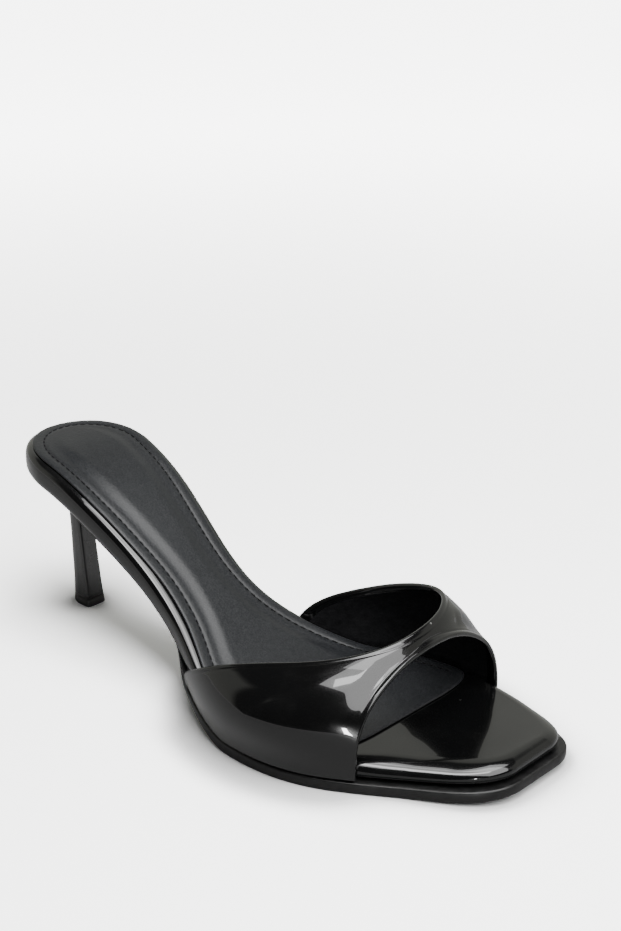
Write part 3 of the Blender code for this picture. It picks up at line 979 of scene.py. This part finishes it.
# Lights: azimuth and elevation in degrees, distance, length and width in metres, brightness in watts
LIT_POINT = (170.0, -10.0, 20.0)
LIGHTS = (
    ("overhead_softbox", -4.0, 64.5, 1.0, 0.84, 1.49, 20.0),
    ("top_panel", 95.0, 74.0, 1.0, 0.5, 0.5, 3.5),
    ("top_strip", -48.0, 79.5, 0.95, 0.42, 0.2, 3.0),
    ("low_lamp", -44.0, 5.5, 1.2, 0.042, 0.15, 2.2),
)


def floor_finish():
    """Paper that is paler to the camera than to the gloss of the shoe, with a soft shade at the contact."""
    paint = bpy.data.materials.new("pale_floor")
    paint.use_nodes = True
    tree = paint.node_tree
    tree.nodes.remove(tree.nodes["Principled BSDF"])
    away = add_node(tree, "ShaderNodeVectorMath", {0: placed(tree)}, operation="LENGTH").outputs["Value"]
    opened = add_node(tree, "ShaderNodeAmbientOcclusion", {"Distance": CONTACT_REACH}).outputs["AO"]
    lit, lit_glow = FLOOR_LIT
    seen, seen_glow = FLOOR_SEEN
    contact = ramp(tree, opened, *CONTACT_OPEN, CONTACT_SHARE * seen, seen)
    papers = []
    for tone, glow in (((lit, lit, lit, 1.0), lit_glow), (contact, seen_glow)):
        matt = add_node(tree, "ShaderNodeBsdfDiffuse", {"Color": tone})
        strength = ramp(tree, away, GLOW_FROM, GLOW_TO, 0.0, glow)
        far = add_node(tree, "ShaderNodeEmission", {"Strength": strength})
        papers.append(add_node(tree, "ShaderNodeAddShader", {0: matt.outputs[0], 1: far.outputs[0]}))
    camera_ray = add_node(tree, "ShaderNodeLightPath").outputs["Is Camera Ray"]
    inputs = {0: camera_ray, 1: papers[0].outputs[0], 2: papers[1].outputs[0]}
    paper = add_node(tree, "ShaderNodeMixShader", inputs)
    tree.links.new(paper.outputs[0], tree.nodes["Material Output"].inputs["Surface"])
    return paint


def make_floor():
    shape = bmesh.new()
    bmesh.ops.create_grid(shape, x_segments=1, y_segments=1, size=FLOOR_REACH)
    mesh = bpy.data.meshes.new("floor")
    shape.to_mesh(mesh)
    shape.free()
    mesh.materials.append(floor_finish())
    floor = bpy.data.objects.new("floor", mesh)
    bpy.context.scene.collection.objects.link(floor)


def make_softbox(name, azimuth, elevation, distance, length, width, power):
    """Flat light at a distance and direction from the front of the shoe, facing it."""
    lamp = bpy.data.lights.new(name, "AREA")
    lamp.shape = "RECTANGLE"
    lamp.size = length
    lamp.size_y = width
    lamp.energy = power
    heading, lift = np.radians((azimuth, elevation))
    way = Vector((np.cos(lift) * np.cos(heading), np.cos(lift) * np.sin(heading), np.sin(lift)))
    box = bpy.data.objects.new(name, lamp)
    box.location = Vector(in_frame(LIT_POINT)) + way * distance
    box.rotation_euler = way.to_track_quat("Z", "Y").to_euler()
    bpy.context.scene.collection.objects.link(box)


def make_room():
    """Dim room on the viewer's side, pale wall behind the shoe."""
    world = bpy.data.worlds.new("studio")
    bpy.context.scene.world = world
    world.use_nodes = True
    tree = world.node_tree
    way = add_node(tree, "ShaderNodeTexCoord").outputs["Generated"]
    flat = add_node(tree, "ShaderNodeVectorMath", {0: way, 1: (1.0, 1.0, 0.0)}, operation="MULTIPLY")
    flat = add_node(tree, "ShaderNodeVectorMath", {0: flat.outputs["Vector"]}, operation="NORMALIZE")
    inputs = {0: flat.outputs["Vector"], 1: ROOM_WAY}
    facing = add_node(tree, "ShaderNodeVectorMath", inputs, operation="DOT_PRODUCT").outputs["Value"]
    up = add_node(tree, "ShaderNodeSeparateXYZ", {"Vector": way}).outputs["Z"]
    sides = ramp(tree, facing, ROOM_HALF_WIDTH - ROOM_EDGE, ROOM_HALF_WIDTH + ROOM_EDGE, 1.0, 0.0)
    below = ramp(tree, up, WALL_TOP - WALL_EDGE, WALL_TOP + WALL_EDGE, 1.0, 0.0)
    colour = blend(tree, combined(tree, "MULTIPLY", sides, below), ROOM_DARK, WALL_PALE)
    tree.links.new(colour, tree.nodes["Background"].inputs["Color"])


def make_camera():
    lens = bpy.data.cameras.new("camera")
    lens.lens = CAMERA_LENS
    lens.clip_start = CAMERA_NEAR
    camera = bpy.data.objects.new("camera", lens)
    camera.location = in_frame(CAMERA_AT)
    camera.rotation_euler = np.radians((CAMERA_PITCH, 0.0, CAMERA_HEADING))
    bpy.context.scene.collection.objects.link(camera)
    bpy.context.scene.camera = camera


def main():
    lacquer = lacquer_group()
    grain = grain_group()
    patent = patent_finish(lacquer)
    make_board(patent)
    make_sock(sock_finish(grain))
    make_stitches(thread_finish(grain))
    make_outsole(rubber_finish(grain, "black_sole_rubber", SOLE_BLACK))
    make_upper(patent, lining_finish(grain))
    make_heel(heel_finish(lacquer))
    make_heel_tip(rubber_finish(grain, "black_tip_rubber", TIP_BLACK))
    make_floor()
    make_room()
    for light in LIGHTS:
        make_softbox(*light)
    make_camera()
    bpy.context.view_layer.update()


main()
